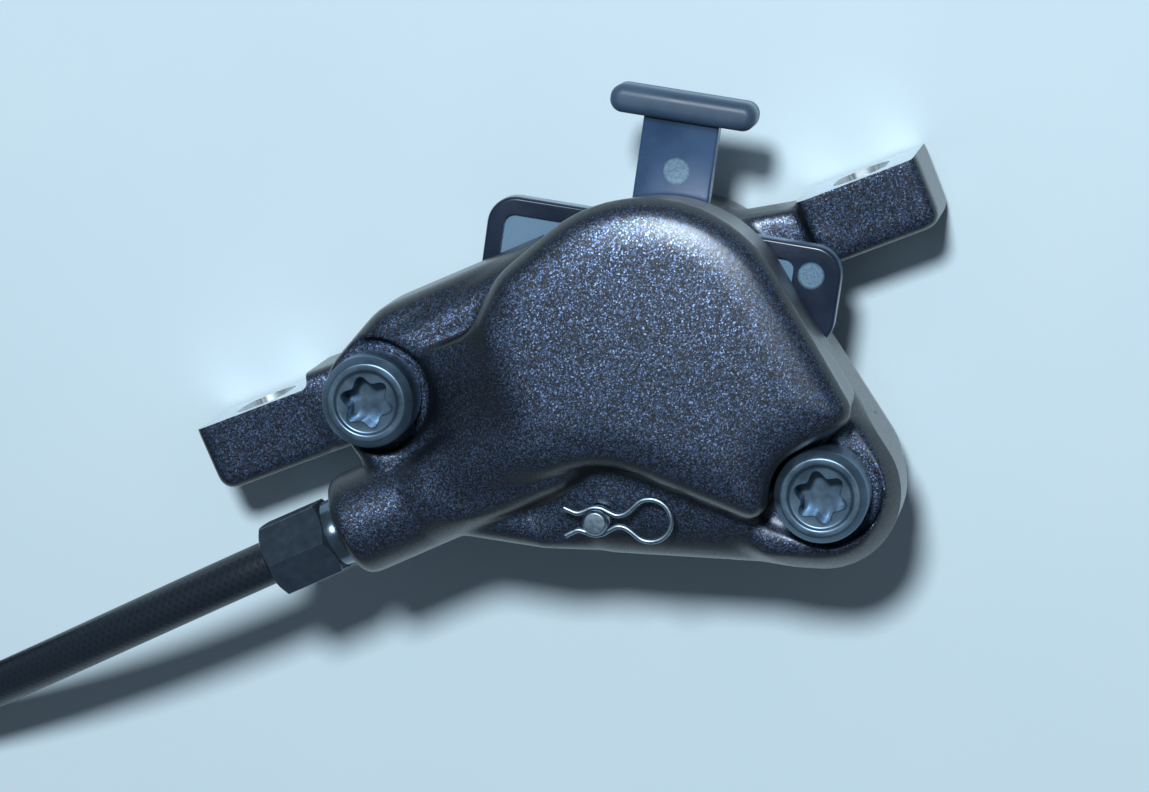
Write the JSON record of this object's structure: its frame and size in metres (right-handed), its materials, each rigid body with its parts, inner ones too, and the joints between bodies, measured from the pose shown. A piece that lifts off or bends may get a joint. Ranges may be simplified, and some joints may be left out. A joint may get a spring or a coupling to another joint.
{
  "type": "bicycle hydraulic disc brake caliper",
  "caption": "Post-mount hydraulic disc brake caliper in two bolted halves, with pistons, pads, transport spacer and a coiled hose.",
  "frame": {"origin": "centre of the flat back of the outboard half, on the axis of both pistons", "axes": "+X from the hose end to the far end, along the line of the mounting ears; +Y the way the machined faces of the ears look; +Z along the rotor's axis, from the outboard half to the inboard half"},
  "size_m": [0.2045, 0.0872, 0.036],
  "materials": {
    "satin_black_paint": "satin black paint with a fine metallic grain over forged aluminium",
    "blackened_steel": "blackened steel, slightly blue",
    "zinc_steel": "plain stamped steel, zinc grey",
    "brass": "turned brass",
    "phenolic": "moulded phenolic, ground outside",
    "seal_rubber": "moulded seal rubber",
    "friction_lining": "pressed resin friction compound with metal flecks",
    "spacer_plastic": "moulded black-blue plastic with ejector marks",
    "hose_skin": "extruded black nylon hose over a braid"
  },
  "bodies": {
    "caliper": {"inboard_body": "satin_black_paint", "outboard_body": "satin_black_paint", "hose_end_body_bolt": "blackened_steel", "far_end_body_bolt": "blackened_steel", "inboard_piston_seal": "seal_rubber", "outboard_piston_seal": "seal_rubber", "pad_spring": "zinc_steel", "pad_axle": "blackened_steel", "hairpin_clip": "blackened_steel", "hose_nut": "blackened_steel", "hose_olive": "brass", "hose_barb": "brass", "hose": "hose_skin", "hose_coil": "hose_skin", "hose_tail": "hose_skin", "lever_end_nut": "blackened_steel", "lever_end_olive": "brass", "lever_end_barb": "brass", "crossover_seal": "seal_rubber", "bleed_screw": "blackened_steel", "bleed_screw_seal": "seal_rubber"},
    "inboard_piston": {"inboard_piston": "phenolic"},
    "outboard_piston": {"outboard_piston": "phenolic"},
    "inboard_pad": {"inboard_pad_plate": "zinc_steel", "inboard_friction_pad": "friction_lining"},
    "outboard_pad": {"outboard_pad_plate": "zinc_steel", "outboard_friction_pad": "friction_lining"},
    "transport_spacer": {"transport_spacer": "spacer_plastic"}
  },
  "joints": [
    {"name": "inboard_piston_slide", "type": "slide", "parent": "caliper", "child": "inboard_piston", "axis": [0, 0, -1], "range_m": [-0.00075, 0.00025]},
    {"name": "outboard_piston_slide", "type": "slide", "parent": "caliper", "child": "outboard_piston", "axis": [0, 0, 1], "range_m": [-0.00075, 0.00025]},
    {"name": "inboard_pad_slide", "type": "slide", "parent": "caliper", "child": "inboard_pad", "axis": [0, 0, -1], "range_m": [-0.00075, 0.00025]},
    {"name": "outboard_pad_slide", "type": "slide", "parent": "caliper", "child": "outboard_pad", "axis": [0, 0, 1], "range_m": [-0.00075, 0.00025]},
    {"name": "spacer_slide", "type": "slide", "parent": "caliper", "child": "transport_spacer", "axis": [0.5, 0.866, 0], "range_m": [0, 0.045]}
  ],
  "couplings": [
    {"joint": "outboard_piston_slide", "follows": "inboard_piston_slide", "ratio": 1},
    {"joint": "inboard_pad_slide", "follows": "inboard_piston_slide", "ratio": 1},
    {"joint": "outboard_pad_slide", "follows": "inboard_piston_slide", "ratio": 1}
  ]
}
